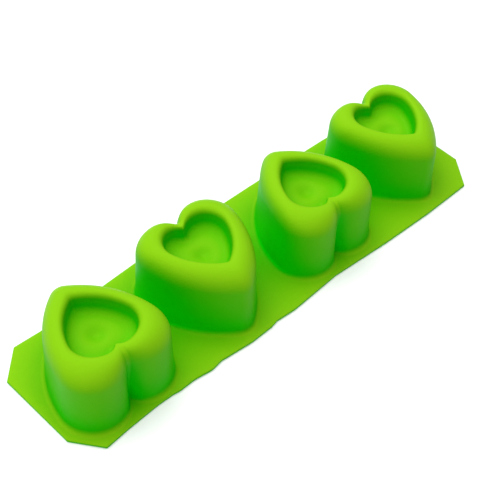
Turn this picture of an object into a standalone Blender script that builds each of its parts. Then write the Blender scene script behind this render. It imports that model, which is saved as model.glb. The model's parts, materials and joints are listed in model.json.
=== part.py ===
"""Silicone soap mould: one thin sheet with four heart-shaped cups, standing cups up.

The mould is a single soft moulding. It is modelled as the regions that move against each other:
a sheet panel and a hollow cup wall for each cell, and a recessed cup base that a thumb pushes in.
The origin is under the middle of the sheet, +X runs along the row of cups and +Z points up.
Metres throughout.
"""
import math

import bmesh
import bpy
import numpy as np

# Row and sheet
CUP_COUNT = 4
WEB_WIDTH = 0.0084            # sheet between the feet of two cups
END_MARGIN_NEAR = 0.0044      # sheet past the first cup
END_MARGIN_FAR = 0.0065       # sheet past the last cup
SIDE_MARGIN_FRONT = 0.0051    # sheet in front of the cups, at -Y
SIDE_MARGIN_BACK = 0.0073     # sheet behind the cups, at +Y
SHEET_THICKNESS = 0.0012
CORNER_CUT_X = 0.0108         # cut corner, along the row
CORNER_CUT_Y = 0.0125         # cut corner, across the row

# Cup: a heart outline with its tip at +Y, measured at the foot
CUP_HEIGHT = 0.0338           # underside of the sheet to the top of the crown
LOBE_RADIUS = 0.0143
LOBE_OFFSET = 0.0115          # middle plane to a lobe's centre
LOBE_TO_TIP = 0.0374          # lobe centres to the tip
TIP_RADIUS = 0.0070
FLANK_RADIUS = 0.0490         # the long sides between lobe and tip
CLEFT_RADIUS = 0.0008         # the valley between the lobes
WALL = 0.0014
DRAFT = 0.0012                # how far the wall leans in by the cup's full height
FOOT_FILLET = 0.0015
CROWN_HEIGHT = 0.0097         # height of the rounding at the top of the wall
CREST_SHARE = 0.72            # where the crown is highest, as a share of its width

# Recess in the closed base: a smaller heart
RECESS_DEPTH = 0.0085
RECESS_LOBE_RADIUS = 0.0086
RECESS_LOBE_OFFSET = 0.0060
RECESS_LOBE_TO_TIP = 0.0198
RECESS_TIP_RADIUS = 0.0020
RECESS_FLANK_RADIUS = 0.0280
RECESS_CLEFT_RADIUS = 0.0015
CLEFT_CROWN = 0.0055          # width of the crown between the cup's valley and the recess
RECESS_DRAFT = 0.0014         # how far the recess narrows to its floor
RIM_DROP = 0.0022             # height of the rounding at the recess's rim
FLOOR_FILLET = 0.0020
FLOOR_DISH = 0.0010           # how far the floor's middle sinks

# Fits and motion
CLEARANCE = 0.0003            # between regions that touch
FOLD_UP_ANGLE = 30.0          # the sheet's edge bevels leave room for these two bends, in degrees
FOLD_DOWN_ANGLE = 64.0

# Smoothness
CLEFT_STEPS, LOBE_STEPS, FLANK_STEPS, TIP_STEPS = 2, 8, 4, 3
ROUND_STEPS = 4
MIN_RADIUS = 0.0003           # no arc is made tighter than this
LEAST_FACING = 0.4            # limit on how far a slanting step may lengthen a clearance

SHEET_GREEN = (0.235, 0.604, 0.006, 1.0)
CUP_GREEN = (0.180, 0.520, 0.006, 1.0)
BASE_GREEN = (0.210, 0.560, 0.008, 1.0)
SILICONE_ROUGHNESS = 0.42


# ---------------------------------------------------------------- heart outlines

def heart_size(lobe_radius, lobe_offset, lobe_to_tip, tip_radius, flank_radius, cleft_radius):
    """A heart's sizes, placed so that its middle lies at y = 0."""
    lobe_y = -(lobe_to_tip - lobe_radius) / 2
    return {
        "lobe_radius": lobe_radius,
        "lobe": (lobe_offset, lobe_y),
        "tip_y": lobe_y + lobe_to_tip,
        "tip_radius": tip_radius,
        "flank_radius": flank_radius,
        "cleft_radius": cleft_radius,
    }


def moved_heart(size, shift):
    """The same heart, moved by shift along Y."""
    lobe_x, lobe_y = size["lobe"]
    return {**size, "lobe": (lobe_x, lobe_y + shift), "tip_y": size["tip_y"] + shift}


def cleft_arc(size, inset):
    """Centre and radius of the arc that joins the two lobes."""
    lobe_x, lobe_y = size["lobe"]
    radius = max(size["cleft_radius"] + inset, MIN_RADIUS)
    reach = size["lobe_radius"] - inset + radius
    return (0.0, lobe_y - math.sqrt(reach ** 2 - lobe_x ** 2)), radius


def cleft_y(size, inset):
    """Where the outline crosses the middle plane in the cleft."""
    centre, radius = cleft_arc(size, inset)
    return centre[1] + radius


def flank_centre(size):
    """Centre of the long side's arc, which touches the lobe's circle and the tip's circle."""
    lobe = np.array(size["lobe"])
    tip = np.array((0.0, size["tip_y"] - size["tip_radius"]))
    to_lobe = size["flank_radius"] - size["lobe_radius"]
    to_tip = size["flank_radius"] - size["tip_radius"]
    span = tip - lobe
    distance = math.hypot(*span)
    along = (distance ** 2 + to_lobe ** 2 - to_tip ** 2) / (2 * distance)
    aside = math.sqrt(to_lobe ** 2 - along ** 2)
    unit = span / distance
    return lobe + unit * along + np.array((-unit[1], unit[0])) * aside


def arc(centre, radius, start, end, steps):
    """Points on an arc, without its last point."""
    angles = np.linspace(start, end, steps + 1)[:-1]
    return np.stack([centre[0] + radius * np.cos(angles), centre[1] + radius * np.sin(angles)], axis=1)


def heading(start, end):
    return math.atan2(end[1] - start[1], end[0] - start[0])


def heart(size, inset):
    """Counterclockwise heart outline, moved in by inset, starting in the cleft."""
    centre = flank_centre(size)
    lobe = size["lobe"]
    lobe_radius = size["lobe_radius"] - inset
    flank_radius = size["flank_radius"] - inset
    tip_radius = max(size["tip_radius"] - inset, MIN_RADIUS)
    cleft, cleft_radius = cleft_arc(size, inset)
    tip = (0.0, centre[1] + math.sqrt((flank_radius - tip_radius) ** 2 - centre[0] ** 2))
    half = np.concatenate([
        arc(cleft, cleft_radius, math.pi / 2, heading(cleft, lobe), CLEFT_STEPS),
        arc(lobe, lobe_radius, heading(lobe, cleft), heading(centre, lobe), LOBE_STEPS),
        arc(centre, flank_radius, heading(centre, lobe), heading(centre, tip), FLANK_STEPS),
        arc(tip, tip_radius, heading(centre, tip), math.pi / 2, TIP_STEPS),
    ])
    top = np.array([(0.0, tip[1] + tip_radius)])
    return np.concatenate([half, top, half[:0:-1] * (-1, 1)])


# ---------------------------------------------------------------- places worked out from the sizes

CUP_WIDTH = 2 * (LOBE_RADIUS + LOBE_OFFSET)
CUP_LENGTH = LOBE_RADIUS + LOBE_TO_TIP
PITCH = CUP_WIDTH + WEB_WIDTH
SHEET_LENGTH = END_MARGIN_NEAR + CUP_COUNT * CUP_WIDTH + (CUP_COUNT - 1) * WEB_WIDTH + END_MARGIN_FAR
SHEET_WIDTH = SIDE_MARGIN_FRONT + CUP_LENGTH + SIDE_MARGIN_BACK
FIRST_CUP_X = -SHEET_LENGTH / 2 + END_MARGIN_NEAR + CUP_WIDTH / 2
ROW_Y = -SHEET_WIDTH / 2 + SIDE_MARGIN_FRONT + CUP_LENGTH / 2
HINGE_HEIGHT = SHEET_THICKNESS / 2
SHOULDER_HEIGHT = CUP_HEIGHT - CROWN_HEIGHT
SHOULDER_INSET = DRAFT * (SHOULDER_HEIGHT - SHEET_THICKNESS) / (CUP_HEIGHT - SHEET_THICKNESS)
RECESS_FLOOR = CUP_HEIGHT - RECESS_DEPTH

FOOT = heart_size(LOBE_RADIUS, LOBE_OFFSET, LOBE_TO_TIP, TIP_RADIUS, FLANK_RADIUS, CLEFT_RADIUS)
CENTRED_RECESS = heart_size(RECESS_LOBE_RADIUS, RECESS_LOBE_OFFSET, RECESS_LOBE_TO_TIP,
                            RECESS_TIP_RADIUS, RECESS_FLANK_RADIUS, RECESS_CLEFT_RADIUS)
RECESS_SHIFT = cleft_y(FOOT, SHOULDER_INSET) + CLEFT_CROWN - cleft_y(CENTRED_RECESS, 0.0)
RECESS = moved_heart(CENTRED_RECESS, RECESS_SHIFT)


def cup_x(index):
    return FIRST_CUP_X + index * PITCH


def web_x(index):
    """Bend line between cup index and the next one."""
    return cup_x(index) + PITCH / 2


def cup_turn(index):
    """The cups alternate: even ones point their tip to +Y, odd ones to -Y."""
    return math.pi * (index % 2)


# ---------------------------------------------------------------- shared building steps

def clear_scene():
    for thing in list(bpy.data.objects):
        bpy.data.objects.remove(thing, do_unlink=True)


def silicone(name, colour):
    material = bpy.data.materials.new(name)
    material.use_nodes = True
    shader = material.node_tree.nodes["Principled BSDF"]
    shader.inputs["Base Color"].default_value = colour
    shader.inputs["Roughness"].default_value = SILICONE_ROUGHNESS
    shader.inputs["Metallic"].default_value = 0.0
    return material


def ring(outline, height):
    return np.column_stack([outline, np.full(len(outline), height)])


def loft(name, rings, centres=None):
    """Skin a stack of rings. Without centres the last ring joins the first one; with centres,
    a (first, last) pair of points, each end is closed by a fan."""
    shape = bmesh.new()
    rows = [[shape.verts.new(point) for point in points] for points in rings]
    pairs = list(zip(rows, rows[1:]))
    if centres is None:
        pairs.append((rows[-1], rows[0]))
    count = len(rows[0])
    for lower, upper in pairs:
        for j in range(count):
            k = (j + 1) % count
            shape.faces.new((lower[j], lower[k], upper[k], upper[j]))
    if centres is not None:
        first = shape.verts.new(centres[0])
        last = shape.verts.new(centres[1])
        for j in range(count):
            k = (j + 1) % count
            shape.faces.new((first, rows[0][k], rows[0][j]))
            shape.faces.new((last, rows[-1][j], rows[-1][k]))
    mesh = bpy.data.meshes.new(name)
    shape.to_mesh(mesh)
    shape.free()
    mesh.shade_smooth()
    mesh.set_sharp_from_angle(angle=math.radians(40))
    return mesh


def quarter_turns(steps):
    """Angles from 0 to a quarter turn, both ends included."""
    return np.linspace(0.0, math.pi / 2, steps + 1)


def rounded_rings(start, end, top, rise, steps):
    """Rings that leave start going straight up and arrive level at end, at height top."""
    return [ring(start + (end - start) * (1 - math.cos(a)), top - rise + rise * math.sin(a))
            for a in quarter_turns(steps)]


def add_object(name, mesh, material, parent, world, turn=0.0):
    """Link an object under parent, with its origin at the world point."""
    thing = bpy.data.objects.new(name, mesh)
    bpy.context.scene.collection.objects.link(thing)
    mesh.materials.clear()
    mesh.materials.append(material)
    thing.parent = parent
    thing.location = np.array(world) - parent["world"]
    thing.rotation_euler = (0.0, 0.0, turn)
    return thing


def add_empty(name, world, parent=None):
    empty = bpy.data.objects.new(name, None)
    bpy.context.scene.collection.objects.link(empty)
    empty["world"] = world
    empty.parent = parent
    empty.location = world if parent is None else np.array(world) - parent["world"]
    return empty


# ---------------------------------------------------------------- cup wall

def crown_lines():
    """Three outlines of the crown: its outer shoulder, its crest and the recess's rim."""
    shoulder = heart(FOOT, SHOULDER_INSET)
    rim = heart(RECESS, 0.0)
    crest = shoulder + (rim - shoulder) * CREST_SHARE
    return shoulder, crest, rim


def wall_mesh():
    """Hollow drafted wall from the mouth in the sheet up to the crest of the crown."""
    shoulder, crest, _ = crown_lines()
    rings = [ring(heart(FOOT, -FOOT_FILLET), 0.0)]
    for angle in quarter_turns(2):
        out = FOOT_FILLET * (1 - math.sin(angle))
        rings.append(ring(heart(FOOT, -out), SHEET_THICKNESS + FOOT_FILLET * (1 - math.cos(angle))))
    rings += rounded_rings(shoulder, crest, CUP_HEIGHT, CROWN_HEIGHT, ROUND_STEPS)
    inner_shoulder = heart(FOOT, SHOULDER_INSET + WALL)
    rings += rounded_rings(inner_shoulder, crest, CUP_HEIGHT - WALL, CROWN_HEIGHT - WALL, ROUND_STEPS)[::-1]
    rings.append(ring(heart(FOOT, WALL), 0.0))
    return loft("cup_wall", rings)


# ---------------------------------------------------------------- cup base

def inward_normals(outline):
    """Unit normals of a counterclockwise outline, pointing in."""
    along = np.roll(outline, -1, axis=0) - np.roll(outline, 1, axis=0)
    inward = np.column_stack([-along[:, 1], along[:, 0]])
    return inward / np.linalg.norm(inward, axis=1, keepdims=True)


def base_edge(crest, rim):
    """Outline of the base, held back from the crest by the clearance, each point towards the rim."""
    across = rim - crest
    across /= np.linalg.norm(across, axis=1, keepdims=True)
    facing = np.sum(across * inward_normals(crest), axis=1, keepdims=True)
    return crest + across * CLEARANCE / np.maximum(facing, LEAST_FACING)


def dropped_rings(edge, rim, top, drop):
    """Rings that leave edge level, at height top, and arrive at rim going straight down."""
    return [ring(edge + (rim - edge) * math.sin(a), top - drop * (1 - math.cos(a)))
            for a in quarter_turns(ROUND_STEPS)]


def floor_rings(inset, floor):
    """The rounding from the recess's side to its floor, then the start of the dish."""
    rings = []
    for angle in quarter_turns(2):
        outline = heart(RECESS, inset + FLOOR_FILLET * (1 - math.cos(angle)))
        rings.append(ring(outline, floor + FLOOR_FILLET * (1 - math.sin(angle))))
    halfway = (outline + (0.0, RECESS_SHIFT)) / 2
    rings.append(ring(halfway, floor - FLOOR_DISH * 3 / 4))
    return rings


def base_mesh():
    """Recessed heart-shaped base, a thin dish that closes the top of the cup."""
    _, crest, rim = crown_lines()
    edge = base_edge(crest, rim)
    top = dropped_rings(edge, rim, CUP_HEIGHT, RIM_DROP) + floor_rings(RECESS_DRAFT, RECESS_FLOOR)
    under = dropped_rings(edge, heart(RECESS, -WALL), CUP_HEIGHT - WALL, RIM_DROP / 2)
    under += floor_rings(RECESS_DRAFT - WALL, RECESS_FLOOR - WALL)
    middle_top = (0.0, RECESS_SHIFT, RECESS_FLOOR - FLOOR_DISH)
    middle_under = (0.0, RECESS_SHIFT, RECESS_FLOOR - FLOOR_DISH - WALL)
    return loft("cup_base", under[::-1] + top, (middle_under, middle_top))


# ---------------------------------------------------------------- sheet panel

def bevel_reach(angle):
    """How far a web edge is cut back at the sheet's face, for a bend of this many degrees."""
    return SHEET_THICKNESS / 2 * math.tan(math.radians(angle / 2))


def panel_outline(index, web_setback):
    """Outline of one cell's panel, seen from above, counterclockwise, about the cup's centre."""
    left = web_x(index - 1) + web_setback if index > 0 else -SHEET_LENGTH / 2
    right = web_x(index) - web_setback if index < CUP_COUNT - 1 else SHEET_LENGTH / 2
    cut_left = 0.0 if index > 0 else CORNER_CUT_X
    cut_right = 0.0 if index < CUP_COUNT - 1 else CORNER_CUT_X
    front, back = -SHEET_WIDTH / 2, SHEET_WIDTH / 2
    points = [(left + cut_left, front), (right - cut_right, front)]
    if cut_right:
        points += [(right, front + CORNER_CUT_Y), (right, back - CORNER_CUT_Y)]
    points += [(right - cut_right, back), (left + cut_left, back)]
    if cut_left:
        points += [(left, back - CORNER_CUT_Y), (left, front + CORNER_CUT_Y)]
    return np.array(points) - (cup_x(index), ROW_Y)


def panel_mesh(index):
    """Plate whose web edges are ridges, so that it can bend about its middle height."""
    half_gap = CLEARANCE / 2
    levels = [(0.0, half_gap + bevel_reach(FOLD_DOWN_ANGLE)),
              (HINGE_HEIGHT, half_gap),
              (SHEET_THICKNESS, half_gap + bevel_reach(FOLD_UP_ANGLE))]
    shape = bmesh.new()
    rows = []
    for height, setback in levels:
        rows.append([shape.verts.new(point) for point in ring(panel_outline(index, setback), height)])
    count = len(rows[0])
    shape.faces.new(rows[0][::-1])
    shape.faces.new(rows[-1])
    for lower, upper in zip(rows, rows[1:]):
        for j in range(count):
            k = (j + 1) % count
            shape.faces.new((lower[j], lower[k], upper[k], upper[j]))
    mesh = bpy.data.meshes.new("sheet_panel")
    shape.to_mesh(mesh)
    shape.free()
    return mesh


def mouth_cutter(index, parent, world):
    """Heart prism that opens the panel for the cup's foot."""
    outline = heart(FOOT, -(FOOT_FILLET + CLEARANCE))
    rings = [ring(outline, -SHEET_THICKNESS), ring(outline, 2 * SHEET_THICKNESS)]
    mesh = loft("mouth_cutter", rings, ((0.0, 0.0, -SHEET_THICKNESS), (0.0, 0.0, 2 * SHEET_THICKNESS)))
    cutter = bpy.data.objects.new(f"mouth_cutter_{index + 1}", mesh)
    bpy.context.scene.collection.objects.link(cutter)
    cutter.parent = parent
    cutter.location = np.array(world) - parent["world"]
    cutter.rotation_euler = (0.0, 0.0, cup_turn(index))
    cutter.display_type = "WIRE"
    cutter.hide_render = True
    return cutter


def add_panel(index, parent, world, material):
    panel = add_object(f"sheet_panel_{index + 1}", panel_mesh(index), material, parent, world)
    cut = panel.modifiers.new("cup mouth", "BOOLEAN")
    cut.operation = "DIFFERENCE"
    cut.object = mouth_cutter(index, parent, world)
    return panel


# ---------------------------------------------------------------- the row of cells

def cell_frames():
    """One empty for each cell. The second cell is the fixed one; every other cell hangs from the
    bend line between it and the neighbour nearer to the fixed cell."""
    fixed = add_empty("fixed_cell", (0.0, 0.0, 0.0))
    frames = {1: fixed}
    frames[0] = add_empty("bend_1", (web_x(0), ROW_Y, HINGE_HEIGHT), fixed)
    for index in range(2, CUP_COUNT):
        frames[index] = add_empty(f"bend_{index}", (web_x(index - 1), ROW_Y, HINGE_HEIGHT), frames[index - 1])
    return frames


def build():
    clear_scene()
    sheet_material = silicone("sheet silicone", SHEET_GREEN)
    wall_material = silicone("cup silicone", CUP_GREEN)
    base_material = silicone("base silicone", BASE_GREEN)
    wall = wall_mesh()
    base = base_mesh()
    frames = cell_frames()
    for index in range(CUP_COUNT):
        world = (cup_x(index), ROW_Y, 0.0)
        turn = cup_turn(index)
        add_panel(index, frames[index], world, sheet_material)
        add_object(f"cup_wall_{index + 1}", wall, wall_material, frames[index], world, turn)
        add_object(f"cup_base_{index + 1}", base, base_material, frames[index], world, turn)
    bpy.context.view_layer.update()


build()
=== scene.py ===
# %% [markdown]
# # A silicone soap mould with four heart cups
#
# The real object is a single piece of soft silicone: a thin sheet with four hollow cups, lying
# upside down on a table with the closed ends of the cups up. Here it is built from a few curves
# and one lofting rule, cut only where the soft sheet bends and where a thumb pushes a cup's base
# in. This first cell loads the fixed frame: the solids, bodies and joints that the looks follow.

# %% Load the frame
import json
import math

import bmesh
import bpy
import numpy as np
from mathutils import Matrix, Vector
from mathutils.geometry import delaunay_2d_cdt


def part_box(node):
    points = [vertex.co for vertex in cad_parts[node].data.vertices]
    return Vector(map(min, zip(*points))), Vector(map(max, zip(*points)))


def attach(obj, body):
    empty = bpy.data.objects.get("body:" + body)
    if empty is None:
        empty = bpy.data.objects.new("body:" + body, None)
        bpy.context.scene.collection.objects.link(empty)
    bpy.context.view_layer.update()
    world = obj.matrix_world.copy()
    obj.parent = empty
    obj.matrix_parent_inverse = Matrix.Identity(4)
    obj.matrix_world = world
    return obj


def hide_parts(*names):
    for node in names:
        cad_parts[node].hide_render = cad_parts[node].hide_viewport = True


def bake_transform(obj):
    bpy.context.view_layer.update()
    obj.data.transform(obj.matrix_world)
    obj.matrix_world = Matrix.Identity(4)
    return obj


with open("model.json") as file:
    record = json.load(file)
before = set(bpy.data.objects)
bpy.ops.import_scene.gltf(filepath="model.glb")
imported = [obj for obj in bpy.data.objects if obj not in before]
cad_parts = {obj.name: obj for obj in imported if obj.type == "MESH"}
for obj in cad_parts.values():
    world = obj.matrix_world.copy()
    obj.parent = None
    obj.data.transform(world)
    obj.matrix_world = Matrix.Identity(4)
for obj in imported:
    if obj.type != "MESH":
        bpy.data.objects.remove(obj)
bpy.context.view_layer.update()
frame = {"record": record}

# %% [markdown]
# ## Where everything is
#
# A cup's place is the middle of its wall's box, and the bend lines are the hinges between the
# cells. Reading them from the frame keeps the looks and the moving model in step. The cups
# alternate: odd cups point their tip to the back, even ones to the front.

# %% Places from the frame
CUPS = (1, 2, 3, 4)
SHEET_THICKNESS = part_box("sheet_panel_1")[1][2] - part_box("sheet_panel_1")[0][2]
CUP_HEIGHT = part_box("cup_wall_1")[1][2]


def box_middle(node):
    low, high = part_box(node)
    return np.array([(low[0] + high[0]) / 2, (low[1] + high[1]) / 2])


cup_middle = {n: box_middle(f"cup_wall_{n}") for n in CUPS}
bend_x = {j["name"]: j["pos_m"][0] for j in frame["record"]["behaviour"]["joints"]
          if j["name"].startswith("web_bend")}
print("cup pitch, mm:", round(1000 * (cup_middle[2][0] - cup_middle[1][0]), 2))
print("bend lines, mm:", {name: round(1000 * x, 2) for name, x in bend_x.items()})

# %% [markdown]
# ## The heart outline
#
# A heart is six arcs: two round lobes, two long flanks, a small round tip and a tight valley
# between the lobes. Drawing it from arcs that touch each other keeps it smooth, and moving it in
# or out only changes the radii. Every outline has the same number of points in each arc, so two
# outlines can be lofted into each other point by point.

# %% Heart outlines from arcs
FOOT_HEART = {"lobe_radius": 0.0143, "lobe_x": 0.0115, "lobe_to_tip": 0.0374,
              "tip_radius": 0.0070, "flank_radius": 0.0490, "valley_radius": 0.0008,
              "deeper": 0.0020}
CROWN_HEART = FOOT_HEART | {"deeper": -0.0006}     # the valley is shallower at the crown
RECESS_HEART = {"lobe_radius": 0.0091, "lobe_x": 0.0056, "lobe_to_tip": 0.0193,
                "tip_radius": 0.0020, "flank_radius": 0.0280, "valley_radius": 0.0012,
                "deeper": 0.0005}
ARC_STEPS = {"valley": 8, "lobe": 40, "flank": 28, "tip": 12}
LEAST_RADIUS = 0.0003
VALLEY_REACH = 0.0024         # how wide the pinch between the lobes is


def arc(centre, radius, start, end, steps):
    angles = np.linspace(start, end, steps + 1)[:-1]
    return np.array(centre) + radius * np.stack([np.cos(angles), np.sin(angles)], axis=1)


def heading(start, end):
    return math.atan2(end[1] - start[1], end[0] - start[0])


def valley_of(size, lobe, inset):
    """Centre and radius of the arc between the lobes."""
    radius = max(size["valley_radius"] + inset, LEAST_RADIUS)
    reach = size["lobe_radius"] - inset + radius
    return (0.0, lobe[1] - math.sqrt(reach ** 2 - lobe[0] ** 2)), radius


def flank_middle(size, lobe, tip_y):
    """Centre of the long arc that touches a lobe and the tip."""
    tip = np.array((0.0, tip_y - size["tip_radius"]))
    to_lobe = size["flank_radius"] - size["lobe_radius"]
    to_tip = size["flank_radius"] - size["tip_radius"]
    distance = math.hypot(*(tip - lobe))
    along = (distance ** 2 + to_lobe ** 2 - to_tip ** 2) / (2 * distance)
    aside = math.sqrt(to_lobe ** 2 - along ** 2)
    unit = (tip - lobe) / distance
    return lobe + unit * along + np.array((-unit[1], unit[0])) * aside


def heart(size, inset, shift=0.0):
    """Counterclockwise outline, moved in by inset, starting in the valley, with its tip at +Y."""
    lobe = np.array((size["lobe_x"], shift - (size["lobe_to_tip"] - size["lobe_radius"]) / 2))
    middle = flank_middle(size, lobe, lobe[1] + size["lobe_to_tip"])
    valley, valley_radius = valley_of(size, lobe, inset)
    flank_radius = size["flank_radius"] - inset
    tip_radius = max(size["tip_radius"] - inset, LEAST_RADIUS)
    tip = (0.0, middle[1] + math.sqrt((flank_radius - tip_radius) ** 2 - middle[0] ** 2))
    lobe_radius = size["lobe_radius"] - inset
    to_lobe, to_flank, to_tip = heading(lobe, valley), heading(middle, lobe), heading(middle, tip)
    half = np.concatenate([
        arc(valley, valley_radius, math.pi / 2, heading(valley, lobe), ARC_STEPS["valley"]),
        arc(lobe, lobe_radius, to_lobe, to_flank, ARC_STEPS["lobe"]),
        arc(middle, flank_radius, to_flank, to_tip, ARC_STEPS["flank"]),
        arc(tip, tip_radius, to_tip, math.pi / 2, ARC_STEPS["tip"]),
    ])
    near_valley = half[:, 1] < lobe[1]
    pinch = np.exp(-(half[near_valley, 0] / VALLEY_REACH) ** 2)
    half[near_valley, 1] += size["deeper"] * pinch
    top = np.array([(0.0, tip[1] + tip_radius)])
    return np.concatenate([half, top, half[:0:-1] * (-1, 1)])


STATIONS = len(heart(FOOT_HEART, 0.0))
print("points round each heart:", STATIONS)

# %% [markdown]
# ## The outlines a cup passes through
#
# A cup is a hollow wall that leans in a little, so that the soap lets go, with a rounded crown and
# a smaller heart pressed into its closed base. Each outline below is one height of that form. The
# crest is a mix of the wall's shoulder and the recess's rim, so that the crown narrows by itself
# where the valley comes close to the recess.

# %% Key outlines
WALL = 0.0014
DRAFT = 0.0012
CROWN_HEIGHT = 0.0090
CREST_SHARE = 0.73
FOOT_FILLET = 0.0023
CLEFT_CROWN = 0.0056
RECESS_DRAFT = 0.0004
RECESS_OFFSET = (0.0003, 0.0020)      # even cups, odd cups: towards the tip

shoulder_height = CUP_HEIGHT - CROWN_HEIGHT
shoulder_inset = DRAFT * (shoulder_height - SHEET_THICKNESS) / (CUP_HEIGHT - SHEET_THICKNESS)
shoulder = heart(CROWN_HEART, shoulder_inset)
flange = heart(FOOT_HEART, -FOOT_FILLET)
mouth = heart(FOOT_HEART, WALL)
recess_shift = shoulder[0][1] + CLEFT_CROWN - heart(RECESS_HEART, 0.0)[0][1]
recess_at = {n: recess_shift + RECESS_OFFSET[n % 2] for n in CUPS}


def recess(number, inset):
    return heart(RECESS_HEART, inset, recess_at[number])


def crest(number):
    return shoulder + (recess(number, 0.0) - shoulder) * CREST_SHARE


def wall_outlines(number):
    return [flange, heart(FOOT_HEART, 0.0), shoulder, crest(number),
            mouth, heart(CROWN_HEART, shoulder_inset + WALL), crest(number)]


def base_outlines(number):
    middle = np.tile((0.0, recess_at[number]), (STATIONS, 1))
    return [crest(number), recess(number, 0.0), recess(number, RECESS_DRAFT), middle,
            crest(number), recess(number, -WALL), recess(number, RECESS_DRAFT - WALL), middle]


print("recesses moved along the cups, mm:", {n: round(1000 * at, 2) for n, at in recess_at.items()})

# %% [markdown]
# ## The section of the wall
#
# A loft needs a path too: for each row, which outline it uses and how high it lies. A row number
# of 2.5 means halfway between outlines 2 and 3. The middle number says how far the row may wobble,
# because hand-pulled silicone is never quite true, except where a piece meets its neighbour.

# %% Section paths
RECESS_DEPTH = 0.0087
RIM_DROP = 0.0030
FLOOR_FILLET = 0.0032
FILLET_SHARE = 0.27
LEVEL_EDGE = 0.03             # share of an outline step kept level on both sides of the crest
ROWS = {"foot": 8, "wall": 14, "crown": 16, "crown inside": 8, "wall inside": 10,
        "rim": 10, "rim inside": 5, "recess": 6, "recess inside": 4, "floor fillet": 6, "floor": 15}


def quarter(steps):
    return np.linspace(0.0, math.pi / 2, steps + 1)


def crown_rows(first, top, rise, steps):
    """Rows that leave outline `first` going straight up and end level on the next outline."""
    return [(first + 1 - math.cos(a), 1.0, top - rise + rise * math.sin(a)) for a in quarter(steps)]


def rim_rows(first, top, drop, steps):
    """Rows that leave outline `first` level and end going straight down on the next one."""
    return [(first + math.sin(a), 1.0, top - drop * (1 - math.cos(a))) for a in quarter(steps)]


def floor_rows(first, floor):
    """The rounding at the foot of the recess and the level floor inside it."""
    rows = [(first + FILLET_SHARE * (1 - math.cos(a)), 1 - a / math.pi,
             floor + FLOOR_FILLET * (1 - math.sin(a))) for a in quarter(ROWS["floor fillet"])]
    rows += [(first + FILLET_SHARE + (1 - FILLET_SHARE) * share, 0.5 - share / 2, floor)
             for share in np.linspace(0.0, 1.0, ROWS["floor"])[1:]]
    return rows


def straight_rows(start, end, steps):
    """Rows between two rows, without the first and the last."""
    start, end = np.array(start), np.array(end)
    return [tuple(start + (end - start) * k / steps) for k in range(1, steps)]


def still(row):
    """The same row, without any wobble."""
    return (row[0], 0.0, row[2])


def wall_path():
    """From the sheet up the outside, over the crest, and down the inside to the mouth."""
    fillet = [(math.sin(a), 0.0, SHEET_THICKNESS + FOOT_FILLET * (1 - math.cos(a)))
              for a in quarter(ROWS["foot"])]
    crown = crown_rows(2, CUP_HEIGHT, CROWN_HEIGHT, ROWS["crown"])
    inner = crown_rows(5, CUP_HEIGHT - WALL, CROWN_HEIGHT - WALL, ROWS["crown inside"])[::-1]
    outside = fillet + straight_rows(fillet[-1], crown[0], ROWS["wall"]) + crown[:-1]
    outside += [(3 - LEVEL_EDGE, 0.0, CUP_HEIGHT), still(crown[-1])]
    inside = [(6.0, 0.0, CUP_HEIGHT - WALL)] + inner[1:]
    inside += straight_rows(inside[-1], (4.0, 0.0, 0.0), ROWS["wall inside"]) + [(4.0, 0.0, 0.0)]
    return outside + inside


def base_path():
    """From the middle of the underside out to the crest, and back over the recess's floor."""
    floor = CUP_HEIGHT - RECESS_DEPTH
    top = rim_rows(0, CUP_HEIGHT, RIM_DROP, ROWS["rim"])
    bottom = floor_rows(2, floor)
    outside = [still(top[0]), (LEVEL_EDGE, 0.0, CUP_HEIGHT)] + top[1:]
    outside += straight_rows(top[-1], bottom[0], ROWS["recess"]) + bottom
    under_top = rim_rows(4, CUP_HEIGHT - WALL, RIM_DROP / 2, ROWS["rim inside"])
    under_bottom = floor_rows(6, floor - WALL)
    under = [still(under_top[0])] + under_top[1:]
    under += straight_rows(under_top[-1], under_bottom[0], ROWS["recess inside"]) + under_bottom
    return under[::-1] + outside


print("rows in the wall and the base:", len(wall_path()), len(base_path()))

# %% [markdown]
# ## One lofting rule in Geometry Nodes
#
# The four walls and the four bases are one and the same rule with other outlines and another
# section, so a Geometry Nodes tree makes them all. It starts from a flat grid, looks up the
# section row and the outline point for each of its vertices, and moves the vertex there. Noise
# then pushes the surface in and out a little. Lofting in nodes keeps every size an input that
# can be changed afterwards, which a mesh edited by hand would lose.

# %% A helper for building trees


def add_node(tree, kind, values=None, **settings):
    """Add a node; values maps an input's name or number to a socket to link or a plain value."""
    node = tree.nodes.new(kind)
    for name, value in settings.items():
        setattr(node, name, value)
    for slot, value in (values or {}).items():
        if isinstance(value, bpy.types.NodeSocket):
            tree.links.new(value, node.inputs[slot])
        else:
            node.inputs[slot].default_value = value
    return node


def maths(tree, operation, *values):
    node = add_node(tree, "ShaderNodeMath", dict(enumerate(values)), operation=operation)
    return node.outputs[0]


def scaled(tree, vector, share):
    node = add_node(tree, "ShaderNodeVectorMath", {0: vector, "Scale": share}, operation="SCALE")
    return node.outputs[0]


def parts_of(tree, vector):
    """X, Y and Z of a vector."""
    return add_node(tree, "ShaderNodeSeparateXYZ", {0: vector}).outputs


# %% [markdown]
# The tree's own part: `Outlines` holds the key outlines one after another, `Section` holds the
# rows. A vertex finds its row and its station from its place on the grid, takes the outline
# below and the one above, and mixes them.

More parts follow.
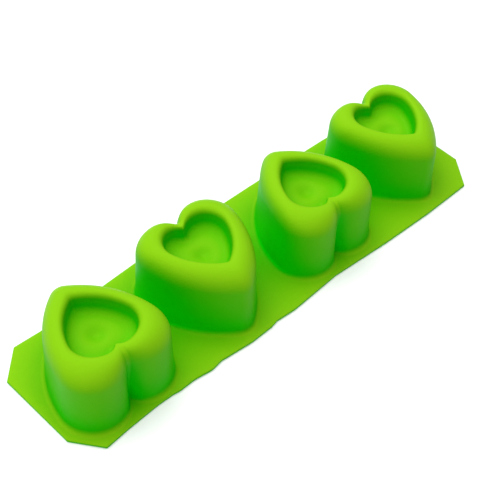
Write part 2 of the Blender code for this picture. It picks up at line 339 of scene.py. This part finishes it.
# %% The loft tree
SADDLE_FADE = 3.0             # how fast the crown's dip fades down the wall
JOIN_DISTANCE = 1e-6          # points nearer than this are the two ends of one ring
WOBBLE_DETAIL = 1.0
LOFT_INPUTS = {"Outlines": "NodeSocketObject", "Section": "NodeSocketObject",
               "Rows": "NodeSocketInt", "Stations": "NodeSocketInt",
               "Wobble": "NodeSocketFloat", "Wobble Scale": "NodeSocketFloat",
               "Seed": "NodeSocketFloat",
               "Dish Depth": "NodeSocketFloat", "Dish Radius": "NodeSocketFloat",
               "Dish Middle": "NodeSocketVector",
               "Saddle Depth": "NodeSocketFloat", "Saddle Radius": "NodeSocketFloat",
               "Saddle Middle": "NodeSocketVector", "Top": "NodeSocketFloat",
               "Lean": "NodeSocketVector", "Turn": "NodeSocketVector", "Place": "NodeSocketVector",
               "Material": "NodeSocketMaterial"}


def points_of(tree, thing):
    return add_node(tree, "GeometryNodeObjectInfo", {"Object": thing}).outputs["Geometry"]


def looked_up(tree, geometry, index):
    """Position of the point with this index."""
    place = add_node(tree, "GeometryNodeInputPosition").outputs[0]
    node = add_node(tree, "GeometryNodeSampleIndex", data_type="FLOAT_VECTOR", domain="POINT",
                    clamp=True)
    tree.links.new(geometry, node.inputs["Geometry"])
    tree.links.new(place, node.inputs["Value"])
    tree.links.new(index, node.inputs["Index"])
    return node.outputs["Value"]


def grid_indices(tree, inputs):
    """Row and station of each vertex of the starting grid; the last station is the first again."""
    place = add_node(tree, "GeometryNodeInputPosition").outputs[0]
    apart = parts_of(tree, place)
    half_rows = maths(tree, "MULTIPLY", maths(tree, "SUBTRACT", inputs["Rows"], 1.0), 0.5)
    half_stations = maths(tree, "MULTIPLY", inputs["Stations"], 0.5)
    row = maths(tree, "ROUND", maths(tree, "ADD", apart[0], half_rows))
    station = maths(tree, "ROUND", maths(tree, "ADD", apart[1], half_stations))
    return row, maths(tree, "MODULO", station, inputs["Stations"])


def bell_drop(tree, inputs, name, flat_place):
    """A round, bell-shaped hollow, the same in every direction from its middle."""
    distance = add_node(tree, "ShaderNodeVectorMath", {0: flat_place, 1: inputs[f"{name} Middle"]},
                        operation="DISTANCE").outputs["Value"]
    share = maths(tree, "DIVIDE", distance, inputs[f"{name} Radius"])
    bell = maths(tree, "EXPONENT", maths(tree, "MULTIPLY", maths(tree, "MULTIPLY", share, share), -1.0))
    return maths(tree, "MULTIPLY", bell, inputs[f"{name} Depth"])


def saddle_drop(tree, inputs, flat_place, height):
    """The crown's dip over the valley, which fades out down the wall."""
    fade = maths(tree, "POWER", maths(tree, "DIVIDE", height, inputs["Top"]), SADDLE_FADE)
    return maths(tree, "MULTIPLY", bell_drop(tree, inputs, "Saddle", flat_place), fade)


def lofted_place(tree, inputs):
    """Where a grid vertex goes, and how far it may wobble. Inputs 4 and 5 of a Mix node are vectors."""
    row, station = grid_indices(tree, inputs)
    section = looked_up(tree, points_of(tree, inputs["Section"]), row)
    outline, freedom, height = parts_of(tree, section)
    below = maths(tree, "FLOOR", outline)
    first = maths(tree, "MULTIPLY_ADD", below, inputs["Stations"], station)
    second = maths(tree, "ADD", first, inputs["Stations"])
    outlines = points_of(tree, inputs["Outlines"])
    mix = add_node(tree, "ShaderNodeMix", data_type="VECTOR")
    tree.links.new(maths(tree, "SUBTRACT", outline, below), mix.inputs[0])
    tree.links.new(looked_up(tree, outlines, first), mix.inputs[4])
    tree.links.new(looked_up(tree, outlines, second), mix.inputs[5])
    flat = parts_of(tree, mix.outputs[1])
    dips = maths(tree, "ADD", bell_drop(tree, inputs, "Dish", mix.outputs[1]),
                 saddle_drop(tree, inputs, mix.outputs[1], height))
    height = maths(tree, "SUBTRACT", height, dips)
    place = add_node(tree, "ShaderNodeCombineXYZ", {0: flat[0], 1: flat[1], 2: height}).outputs[0]
    return place, freedom


def wobble_offset(tree, inputs, freedom):
    """A push along the surface's normal from slow noise, scaled by the row's freedom."""
    noise = add_node(tree, "ShaderNodeTexNoise", {"Scale": inputs["Wobble Scale"], "W": inputs["Seed"],
                                                  "Detail": WOBBLE_DETAIL}, noise_dimensions="4D")
    push = maths(tree, "MULTIPLY", maths(tree, "SUBTRACT", noise.outputs[0], 0.5), inputs["Wobble"])
    push = maths(tree, "MULTIPLY", push, freedom)
    return scaled(tree, add_node(tree, "GeometryNodeInputNormal").outputs[0], push)


def loft_tree():
    tree = bpy.data.node_groups.new("Loft through outlines", "GeometryNodeTree")
    tree.is_modifier = True
    for name, kind in LOFT_INPUTS.items():
        tree.interface.new_socket(name, in_out="INPUT", socket_type=kind)
    tree.interface.new_socket("Geometry", in_out="OUTPUT", socket_type="NodeSocketGeometry")
    inputs = add_node(tree, "NodeGroupInput").outputs
    around = maths(tree, "ADD", inputs["Stations"], 1.0)
    grid = add_node(tree, "GeometryNodeMeshGrid", {
        "Size X": maths(tree, "SUBTRACT", inputs["Rows"], 1.0), "Size Y": inputs["Stations"],
        "Vertices X": inputs["Rows"], "Vertices Y": around}).outputs["Mesh"]
    place, freedom = lofted_place(tree, inputs)
    kept = add_node(tree, "GeometryNodeCaptureAttribute", {"Geometry": grid})
    kept.capture_items.new("FLOAT", "Freedom")
    tree.links.new(freedom, kept.inputs[1])
    moved = add_node(tree, "GeometryNodeSetPosition", {"Geometry": kept.outputs[0], "Position": place})
    turned = add_node(tree, "GeometryNodeFlipFaces", {"Mesh": moved.outputs[0]})
    joined = add_node(tree, "GeometryNodeMergeByDistance", {
        "Geometry": turned.outputs[0], "Distance": JOIN_DISTANCE})
    offset = wobble_offset(tree, inputs, kept.outputs[1])
    pushed = add_node(tree, "GeometryNodeSetPosition", {
        "Geometry": joined.outputs[0], "Offset": offset})
    placed = add_node(tree, "GeometryNodeTransform", {
        "Geometry": pushed.outputs[0], "Translation": inputs["Place"], "Rotation": inputs["Turn"]})
    height = parts_of(tree, add_node(tree, "GeometryNodeInputPosition").outputs[0])[2]
    slant = scaled(tree, inputs["Lean"], height)
    leaning = add_node(tree, "GeometryNodeSetPosition", {
        "Geometry": placed.outputs[0], "Offset": slant})
    real = add_node(tree, "GeometryNodeRealizeInstances", {"Geometry": leaning.outputs[0]})
    dressed = add_node(tree, "GeometryNodeSetMaterial", {"Geometry": real.outputs[0],
                                                         "Material": inputs["Material"]})
    add_node(tree, "NodeGroupOutput", {"Geometry": dressed.outputs[0]})
    return tree


# %% [markdown]
# ## Running a tree
#
# A tree runs as a modifier on an object. Its inputs are set by their identifiers, the result is
# copied into a plain mesh, and the helper object is thrown away.

# %% Make a mesh with a tree


def helper_points(name, points):
    """An object that only carries points, for a tree to read."""
    mesh = bpy.data.meshes.new(name)
    mesh.from_pydata([tuple(p) for p in points], [], [])
    thing = bpy.data.objects.new(name, mesh)
    bpy.context.scene.collection.objects.link(thing)
    return thing


def discard(thing):
    mesh = thing.data
    bpy.data.objects.remove(thing, do_unlink=True)
    bpy.data.meshes.remove(mesh)


def mesh_from_tree(tree, **values):
    thing = helper_points("loft helper", [])
    modifier = thing.modifiers.new("loft", "NODES")
    modifier.node_group = tree
    for item in tree.interface.items_tree:
        if item.in_out == "INPUT":
            modifier[item.identifier] = values[item.name.replace(" ", "_").lower()]
    graph = bpy.context.evaluated_depsgraph_get()
    mesh = bpy.data.meshes.new_from_object(thing.evaluated_get(graph))
    discard(thing)
    return mesh


def outline_points(outlines):
    return [(x, y, 0.0) for outline in outlines for x, y in outline]


# %% [markdown]
# ## The silicone
#
# The colour is painted shade and light, standing in for light that silicone lets a little way in:
# open tops are painted a yellow-green lime, and hollows and sheltered walls a deep clean green. The
# ambient occlusion node measures how open each spot is, so it can drive that painted shade. Two more
# terms are added to it: painted shade by height, lighter on the thin sheet, darker at the foot and a
# little lighter towards the crown, and painted light on faces that look up. The satin skin comes
# from a middling roughness, broken up by a fine grain and a few rubbed, slightly duller patches.

# %% Silicone material
# painted shade: the colour for each degree of openness, deep green where sheltered, lime where open
SHADE_PAINT_COLOURS = [(0.20, (0.0, 0.62, 0.0, 1.0)), (0.45, (0.004, 0.45, 0.0, 1.0)),
                    (0.72, (0.09, 0.40, 0.001, 1.0)), (1.0, (0.19, 0.46, 0.005, 1.0))]
# painted shade and light by height: lighter on the sheet, darker at the foot, a little lighter at the
# crown
HEIGHT_SHADE_PAINT = [(0.030, 0.60), (0.055, 0.40), (0.30, 0.50), (0.9, 0.54)]
SHIFT_HEIGHT = 0.040          # the height that counts as 1 in the list above
SHEEN_TINT = (0.75, 1.0, 0.10, 1.0)
SHELTER_REACH = 0.10          # how far away a surface still shelters a spot
SHELTER_SAMPLES = 12
# painted light: faces that look up are painted lighter, upright faces a little darker
TOP_LIGHT_PAINT = 0.12           # how much more open a face that looks straight up counts
SIDE_SHADE_PAINT = -0.03          # the same for an upright face
PATCH_SCALE = 38.0
PATCH_DETAIL = 2.0
PATCH_SHIFT = 0.10            # how far the patches shift the colour
ROUGHNESS = (0.38, 0.52)      # smoothest and dullest patches
SPECULAR = 0.06
GRAIN_SCALE = 900.0
GRAIN_DETAIL = 3.0
GRAIN_STRENGTH = 0.12
GRAIN_HEIGHT = 0.0002


def ramp_node(tree, share, stops):
    """A colour ramp with these stops; returns its colour."""
    ramp = add_node(tree, "ShaderNodeValToRGB", {0: share})
    while len(ramp.color_ramp.elements) < len(stops):
        ramp.color_ramp.elements.new(0.5)
    for element, (position, colour) in zip(ramp.color_ramp.elements, stops):
        element.position, element.color = position, colour
    return ramp.outputs[0]


def silicone_colour_with_painted_shade(tree, place):
    """Painted shade and light: deep green where sheltered, lime where open and on faces that look up,
    shaded by height, with slow small shifts of tone.
    """
    # painted shade: ambient occlusion sets how deep a green each spot gets
    openness = add_node(tree, "ShaderNodeAmbientOcclusion", {"Distance": SHELTER_REACH},
                        samples=SHELTER_SAMPLES).outputs["AO"]
    patches = add_node(tree, "ShaderNodeTexNoise", {"Vector": place, "Scale": PATCH_SCALE,
                                                   "Detail": PATCH_DETAIL}).outputs[0]
    height = parts_of(tree, place)[2]
    # painted shade by height: lighter on the sheet, darker at the foot
    height_shade = ramp_node(tree, maths(tree, "DIVIDE", height, SHIFT_HEIGHT),
                          [(share, (grey, grey, grey, 1.0)) for share, grey in HEIGHT_SHADE_PAINT])
    uneven = maths(tree, "SUBTRACT", patches, 0.5)
    shifted = maths(tree, "MULTIPLY_ADD", uneven, PATCH_SHIFT, openness)
    shifted = maths(tree, "ADD", shifted, maths(tree, "SUBTRACT", height_shade, 0.5))
    # painted light: faces that look up are painted lighter
    normal = add_node(tree, "ShaderNodeNewGeometry").outputs["Normal"]
    top_light = maths(tree, "MULTIPLY_ADD", parts_of(tree, normal)[2], TOP_LIGHT_PAINT, SIDE_SHADE_PAINT)
    return ramp_node(tree, maths(tree, "ADD", shifted, top_light), SHADE_PAINT_COLOURS), patches


def silicone_material():
    material = bpy.data.materials.new("lime silicone with painted shade")
    material.use_nodes = True
    tree = material.node_tree
    shader = tree.nodes["Principled BSDF"]
    place = add_node(tree, "ShaderNodeTexCoord").outputs["Object"]
    # the base colour is painted shade and light from the ramp above
    colour, patches = silicone_colour_with_painted_shade(tree, place)
    tree.links.new(colour, shader.inputs["Base Color"])
    roughness = add_node(tree, "ShaderNodeMapRange", {
        "Value": patches, "To Min": ROUGHNESS[0], "To Max": ROUGHNESS[1]}).outputs[0]
    tree.links.new(roughness, shader.inputs["Roughness"])
    shader.inputs["Specular IOR Level"].default_value = SPECULAR
    shader.inputs["Specular Tint"].default_value = SHEEN_TINT
    grain = add_node(tree, "ShaderNodeTexNoise", {"Vector": place, "Scale": GRAIN_SCALE,
                                                 "Detail": GRAIN_DETAIL}).outputs[0]
    bump = add_node(tree, "ShaderNodeBump", {"Height": grain, "Strength": GRAIN_STRENGTH,
                                             "Distance": GRAIN_HEIGHT})
    tree.links.new(bump.outputs[0], shader.inputs["Normal"])
    return material


silicone = silicone_material()

# %% [markdown]
# ## Loft the cups
#
# Walls and bases are lofted for each cup, turned half round on the even ones. Each cup gets its
# own seed, so no two wobble alike.

# %% Walls and bases
STANDS_OFF = {1: (0.0003, -0.0013), 2: (0.0001, -0.0009),      # each cup, from its CAD place
              3: (-0.0001, -0.0005), 4: (-0.0001, 0.0003)}
LEAN = (-0.0005, 0.0012)      # how far the crowns lean over, because the soft walls give
WOBBLE = 0.00035
WOBBLE_SCALE = 45.0
SADDLE_DEPTH = 0.0028         # how much the crown dips where the two lobes meet
SADDLE_RADIUS = 0.0070
DISH_DEPTH = 0.0018
DISH_RADIUS = 0.0040

loft = loft_tree()
cup_place = {n: cup_middle[n] + np.array(STANDS_OFF[n]) for n in CUPS}


def lofted(outlines, path, number, dish_depth):
    outline_object = helper_points("outline points", outline_points(outlines))
    path_object = helper_points("section points", path)
    mesh = mesh_from_tree(loft, outlines=outline_object, section=path_object, rows=len(path),
                          stations=STATIONS, wobble=WOBBLE, wobble_scale=WOBBLE_SCALE,
                          seed=float(number), dish_depth=dish_depth, dish_radius=DISH_RADIUS,
                          dish_middle=(0.0, recess_at[number], 0.0),
                          saddle_depth=SADDLE_DEPTH, saddle_radius=SADDLE_RADIUS,
                          saddle_middle=(0.0, crest(number)[0][1], 0.0), top=CUP_HEIGHT,
                          lean=(LEAN[0] / CUP_HEIGHT, LEAN[1] / CUP_HEIGHT, 0.0),
                          turn=(0.0, 0.0, math.pi * (number % 2 == 0)),
                          place=(*cup_place[number], 0.0), material=silicone)
    discard(outline_object)
    discard(path_object)
    return mesh


walls = {n: lofted(wall_outlines(n), wall_path(), n, 0.0) for n in CUPS}
bases = {n: lofted(base_outlines(n), base_path(), n, DISH_DEPTH) for n in CUPS}
print("faces in a wall and a base:", len(walls[1].polygons), len(bases[1].polygons))

# %% [markdown]
# ## The trimmed sheet
#
# The sheet round the cups was trimmed by hand: the four corners are cut off, the front edge is a
# run of short scissor cuts, and the back edge bows out a little in the middle. The outline is a
# short list of the points where a cut changes direction.

# %% Sheet outline
FRONT_CUTS = [(-0.1113, -0.0326), (-0.1000, -0.0316), (-0.0840, -0.0308), (-0.0760, -0.0310),
              (-0.0725, -0.0315), (-0.0650, -0.0313), (-0.0560, -0.0325), (-0.0500, -0.0316),
              (-0.0460, -0.0320), (-0.0340, -0.0331), (-0.0220, -0.0328), (-0.0180, -0.0320),
              (-0.0080, -0.0327), (0.0200, -0.0311), (0.0530, -0.0329), (0.0820, -0.0336),
              (0.1104, -0.0331)]
FAR_CUTS = [(0.1216, -0.0190), (0.1219, 0.0190)]
BACK_CUTS = [(0.1098, 0.0322), (0.0800, 0.0336), (0.0300, 0.0337), (0.0000, 0.0333),
             (-0.0430, 0.0319), (-0.0570, 0.0311), (-0.0960, 0.0286), (-0.1094, 0.0290)]
NEAR_CUTS = [(-0.1214, 0.0171), (-0.1207, -0.0203)]
EDGE_STEP = 0.0015
STRIP_HALF = 0.0012           # half width of the strip that bends between two cells
FOLD_SHARES = (-1, -0.5, 0, 0.5, 1)
LEAST_STEP = 0.4              # a point nearer to a fold line than this share of a step is dropped

split_lines = sorted(x + side * STRIP_HALF for x in bend_x.values() for side in (-1, 1))
fold_lines = sorted(x + share * STRIP_HALF for x in bend_x.values() for share in FOLD_SHARES)


def resampled(points):
    """Closed outline with points about EDGE_STEP apart and one exactly on each fold line."""
    result = []
    for start, end in zip(points, points[1:] + points[:1]):
        start, end = np.array(start), np.array(end)
        count = max(1, round(float(np.linalg.norm(end - start)) / EDGE_STEP))
        shares = {k / count for k in range(count)}
        if abs(end[0] - start[0]) > EDGE_STEP:
            crossings = [(x - start[0]) / (end[0] - start[0]) for x in fold_lines]
            inside = [c for c in crossings if 0 < c < 1]
            shares = {s for s in shares
                      if s == 0 or all(abs(s - c) * count > LEAST_STEP for c in inside)}
            shares |= set(inside)
        result += [start + (end - start) * s for s in sorted(shares)]
    return np.array(result)


sheet_outline = resampled(FRONT_CUTS + FAR_CUTS + BACK_CUTS + NEAR_CUTS)
print("points round the sheet:", len(sheet_outline))

# %% [markdown]
# ## Filling the sheet
#
# The sheet's faces have to meet the cups' round feet and the straight bend lines exactly. A
# constrained triangulation does that: it takes the outlines as edges that must stay, fills in
# between them, and leaves the heart-shaped mouths open. The top and the underside are filled
# apart, because the foot is wider than the mouth.

# %% Triangulate round the mouths
EDGE_ROUND = 0.0003
FILL_STEP = 0.0030
ON_LINE = 1e-7                # a point this near to a fold line lies on it
SAME_POINT = 1e-8             # the triangulation takes points this near as one
INSIDE_TRIANGLES = 1          # the triangulation's setting for triangles inside the edges only
TINY = 1e-12                  # keeps a level edge from dividing by zero


def inset_outline(outline, inset):
    """Closed outline moved in along its normals; points on a fold line stay on it."""
    along = np.roll(outline, -1, axis=0) - np.roll(outline, 1, axis=0)
    inward = np.column_stack([-along[:, 1], along[:, 0]])
    inward /= np.linalg.norm(inward, axis=1, keepdims=True)
    moved = outline + inward * inset
    for k, point in enumerate(outline):
        if min(abs(point[0] - x) for x in fold_lines) < ON_LINE:
            moved[k][0] = point[0]
    return moved


def within(outline, points):
    """True for each point inside a closed outline."""
    hit = np.zeros(len(points), bool)
    for (x1, y1), (x2, y2) in zip(outline, np.roll(outline, 1, axis=0)):
        crosses = (y1 > points[:, 1]) != (y2 > points[:, 1])
        reach = (x2 - x1) * (points[:, 1] - y1) / ((y2 - y1) or TINY) + x1
        hit ^= crosses & (points[:, 0] < reach)
    return hit


def placed_heart(outline, number, height):
    """The outline at its cup and height, turned half round on even cups, leaning with the wall."""
    slant = np.array(LEAN) * height / CUP_HEIGHT
    return outline * (-1 if number % 2 == 0 else 1) + cup_place[number] + slant


def filler_points(boundary, holes):
    """A loose grid of points inside the sheet, away from every edge."""
    xs = np.arange(boundary[:, 0].min(), boundary[:, 0].max(), FILL_STEP)
    ys = np.arange(boundary[:, 1].min(), boundary[:, 1].max(), FILL_STEP)
    grid = np.array([(x, y) for x in xs for y in ys
                     if min(abs(x - s) for s in fold_lines) > FILL_STEP / 2])
    keep = within(boundary, grid)
    for hole in holes:
        keep &= ~within(hole, grid)
    edges = np.concatenate([boundary, *holes])
    distance = np.array([np.min(np.hypot(*(edges - p).T)) for p in grid])
    return grid[keep & (distance > FILL_STEP / 2)]


def filled(boundary, holes):
    """Triangles between the boundary and the holes, with an edge along every fold line."""
    points = [tuple(p) for p in boundary]
    edges = [(k, (k + 1) % len(boundary)) for k in range(len(boundary))]
    for hole in holes:
        start = len(points)
        points += [tuple(p) for p in hole]
        edges += [(start + k, start + (k + 1) % len(hole)) for k in range(len(hole))]
    for x in fold_lines:
        ends = [k for k in range(len(boundary)) if abs(boundary[k][0] - x) < ON_LINE]
        front, back = sorted(ends, key=lambda k: boundary[k][1])
        ys = np.arange(boundary[front][1] + FILL_STEP, boundary[back][1] - FILL_STEP / 2, FILL_STEP)
        chain = [front, *range(len(points), len(points) + len(ys)), back]
        points += [(x, y) for y in ys]
        edges += list(zip(chain, chain[1:]))
    points += [tuple(p) for p in filler_points(boundary, holes)]
    made, _, faces, *_ = delaunay_2d_cdt([Vector(p) for p in points], edges, [],
                                         INSIDE_TRIANGLES, SAME_POINT)
    made = np.array(made)
    centres = np.array([made[list(f)].mean(axis=0) for f in faces])
    inside_hole = np.zeros(len(faces), bool)
    for hole in holes:
        inside_hole |= within(hole, centres)
    return made, [list(f) for f, hidden in zip(faces, inside_hole) if not hidden]


top_boundary = inset_outline(sheet_outline, EDGE_ROUND)
under_boundary = inset_outline(sheet_outline, EDGE_ROUND / 2)
feet = [placed_heart(flange, n, SHEET_THICKNESS) for n in CUPS]
mouths = [placed_heart(mouth, n, 0.0) for n in CUPS]
top_points, top_faces = filled(top_boundary, feet)
under_points, under_faces = filled(under_boundary, mouths)
print("faces on the sheet's top and underside:", len(top_faces), len(under_faces))

# %% [markdown]
# ## One skin for the whole mould
#
# The fillings, the rounded rim of the sheet and the four lofted walls are welded into one closed
# skin. Only then is it cut along the split lines into four cells and three strips, so that
# neighbours share the same edge points and no seam shows.

# %% Weld the skin
WELD = 4e-6                   # points nearer than this become one
EDGE_ROWS = 3


def add_faces(shape, points, faces, height, flip=False):
    verts = [shape.verts.new((x, y, height)) for x, y in points]
    for face in faces:
        shape.faces.new([verts[k] for k in (face[::-1] if flip else face)])


def add_rim(shape):
    """The sheet's cut edge, from the top face round to the underside."""
    levels = [(EDGE_ROUND, SHEET_THICKNESS)]
    levels += [(EDGE_ROUND * (1 - math.sin(a)), SHEET_THICKNESS - EDGE_ROUND * (1 - math.cos(a)))
               for a in quarter(EDGE_ROWS)[1:]]
    levels += [(0.0, EDGE_ROUND / 2), (EDGE_ROUND / 2, 0.0)]
    rings = []
    for inset, height in levels:
        outline = inset_outline(sheet_outline, inset)
        rings.append([shape.verts.new((x, y, height)) for x, y in outline])
    for upper, lower in zip(rings, rings[1:]):
        for k in range(len(upper)):
            n = (k + 1) % len(upper)
            shape.faces.new((upper[k], lower[k], lower[n], upper[n]))


skin = bmesh.new()
add_faces(skin, top_points, top_faces, SHEET_THICKNESS)
add_faces(skin, under_points, under_faces, 0.0, flip=True)
add_rim(skin)
for mesh in walls.values():
    skin.from_mesh(mesh)
bmesh.ops.remove_doubles(skin, verts=skin.verts, dist=WELD)
open_edges = sum(not e.is_manifold for e in skin.edges)
print("skin faces:", len(skin.faces), "open edges:", open_edges)

# %% [markdown]
# Each face belongs to the cell or the strip that its middle lies in. A piece is a copy of the
# skin with all other faces deleted and its cut ends filled, so every piece is closed.

# %% Cut the skin into pieces
SHARP_ANGLE = math.radians(40)


def region_of(face):
    """Name of the piece a face belongs to, from its middle."""
    x = face.calc_center_median().x
    index = sum(x > line for line in split_lines)
    return f"cell_{index // 2 + 1}" if index % 2 == 0 else f"strip_{index // 2 + 1}"


def piece_object(name, shape):
    mesh = bpy.data.meshes.new(name)
    shape.to_mesh(mesh)
    shape.free()
    mesh.materials.clear()
    mesh.materials.append(silicone)
    for polygon in mesh.polygons:
        polygon.material_index = 0
    mesh.shade_smooth()
    mesh.set_sharp_from_angle(angle=SHARP_ANGLE)
    thing = bpy.data.objects.new(name, mesh)
    bpy.context.scene.collection.objects.link(thing)
    return thing


def cut_piece(name):
    """A copy of the skin with only this region's faces, its cut ends closed."""
    shape = skin.copy()
    away = [face for face in shape.faces if region_of(face) != name]
    bmesh.ops.delete(shape, geom=away, context="FACES")
    ends = [edge for edge in shape.edges if edge.is_boundary]
    filled_ends = bmesh.ops.holes_fill(shape, edges=ends, sides=0)["faces"]
    bmesh.ops.triangulate(shape, faces=filled_ends)
    return piece_object(name, shape)


cells = {n: cut_piece(f"cell_{n}") for n in CUPS}
strips = {n: cut_piece(f"strip_{n}") for n in CUPS[:-1]}
skin.free()
print("pieces cut:", len(cells), "cells and", len(strips), "strips")

# %% [markdown]
# ## The pushed-in bases
#
# Each base is its own piece, because a thumb pushes it in. The loop below also measures every piece:
# a closed one has no open edges and a volume above zero.

# %% Base pieces
base_pieces = {}
for n in CUPS:
    shape = bmesh.new()
    shape.from_mesh(bases[n])
    bmesh.ops.remove_doubles(shape, verts=shape.verts, dist=WELD)
    base_pieces[n] = piece_object(f"recess_{n}", shape)

for thing in [*cells.values(), *strips.values(), *base_pieces.values()]:
    check = bmesh.new()
    check.from_mesh(thing.data)
    open_edges = sum(not e.is_manifold for e in check.edges)
    print(thing.name, "faces", len(check.faces), "open edges", open_edges,
          "volume cm3", round(check.calc_volume(signed=True) * 1e6, 2))
    check.free()

# %% [markdown]
# ## Following the frame
#
# A cell rides on its body. The strips and the recesses are left where they are, and the frame's
# own sheet, wall and base parts that they stand for are hidden.

for n in CUPS:
    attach(cells[n], f"cell_{n}")
    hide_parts(f"sheet_panel_{n}", f"cup_wall_{n}")
    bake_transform(base_pieces[n])
    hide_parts(f"cup_base_{n}")
for n, strip in strips.items():
    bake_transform(strip)

# %% [markdown]
# ## Table, light and camera
#
# The table is one large white square, a hair below the sheet so that the two don't flicker
# through each other. It is only a stage, not one of the mould's pieces.

# %% Floor
FLOOR_SIZE = 12.0
FLOOR_GAP = 0.0002
FLOOR_WHITE = (0.92, 0.92, 0.92, 1.0)
FLOOR_ROUGHNESS = 0.6


def floor_material():
    material = bpy.data.materials.new("white table")
    material.use_nodes = True
    shader = material.node_tree.nodes["Principled BSDF"]
    shader.inputs["Base Color"].default_value = FLOOR_WHITE
    shader.inputs["Roughness"].default_value = FLOOR_ROUGHNESS
    return material


floor_mesh = bpy.data.meshes.new("table")
half = FLOOR_SIZE / 2
floor_mesh.from_pydata([(-half, -half, -FLOOR_GAP), (half, -half, -FLOOR_GAP),
                        (half, half, -FLOOR_GAP), (-half, half, -FLOOR_GAP)], [], [(0, 1, 2, 3)])
floor_mesh.materials.append(floor_material())
floor = bpy.data.objects.new("table", floor_mesh)
bpy.context.scene.collection.objects.link(floor)
print("table width, m:", FLOOR_SIZE)

# %% [markdown]
# Soft light comes from a large box above and behind the mould, with a weak one to its left. The
# white world fills in the shadows. The Standard view transform keeps the lime as saturated as
# silicone is.

# %% Lights
WORLD_WHITE = (1.0, 1.0, 1.0, 1.0)
WORLD_STRENGTH = 0.40


def softbox(name, power, size, place):
    """A rectangular area light that points at the middle of the mould."""
    light = bpy.data.lights.new(name, "AREA")
    light.shape = "RECTANGLE"
    light.size, light.size_y = size
    light.energy = power
    lamp = bpy.data.objects.new(name, light)
    bpy.context.scene.collection.objects.link(lamp)
    lamp.location = place
    lamp.rotation_euler = (-Vector(place)).to_track_quat("-Z", "Y").to_euler()
    print(name, "power, W:", power)


softbox("overhead softbox", power=36.0, size=(2.0, 2.0), place=(-0.08, 0.45, 1.3))
softbox("left fill", power=1.5, size=(1.0, 0.8), place=(-1.1, -0.5, 0.6))

world = bpy.data.worlds.new("studio")
world.use_nodes = True
background = world.node_tree.nodes["Background"]
background.inputs["Color"].default_value = WORLD_WHITE
background.inputs["Strength"].default_value = WORLD_STRENGTH
bpy.context.scene.world = world
bpy.context.scene.view_settings.view_transform = "Standard"

# %% [markdown]
# The camera stands in front of the first cup and looks down along the row. Its place is free, its
# direction comes from an azimuth and an elevation, and a roll turns the picture a little.

# %% Camera
CAMERA_AZIMUTH = math.radians(-49.02)
CAMERA_ELEVATION = math.radians(47.44)
CAMERA_ROLL = math.radians(6.18)
CAMERA_PLACE = (-0.24969, -0.21379, 0.36324)
CAMERA_LENS = 79.0


def add_camera():
    back = Vector((math.sin(CAMERA_AZIMUTH) * math.cos(CAMERA_ELEVATION),
                   -math.cos(CAMERA_AZIMUTH) * math.cos(CAMERA_ELEVATION), math.sin(CAMERA_ELEVATION)))
    level = Vector((0, 0, 1)).cross(back).normalized()
    upright = back.cross(level)
    right = level * math.cos(CAMERA_ROLL) + upright * math.sin(CAMERA_ROLL)
    up = upright * math.cos(CAMERA_ROLL) - level * math.sin(CAMERA_ROLL)
    data = bpy.data.cameras.new("camera")
    data.lens = CAMERA_LENS
    camera = bpy.data.objects.new("camera", data)
    bpy.context.scene.collection.objects.link(camera)
    rotation = Matrix((right, up, back)).transposed().to_4x4()
    camera.matrix_world = Matrix.Translation(Vector(CAMERA_PLACE)) @ rotation
    bpy.context.scene.camera = camera
    return camera


print("camera to middle, m:", round(add_camera().matrix_world.translation.length, 3))
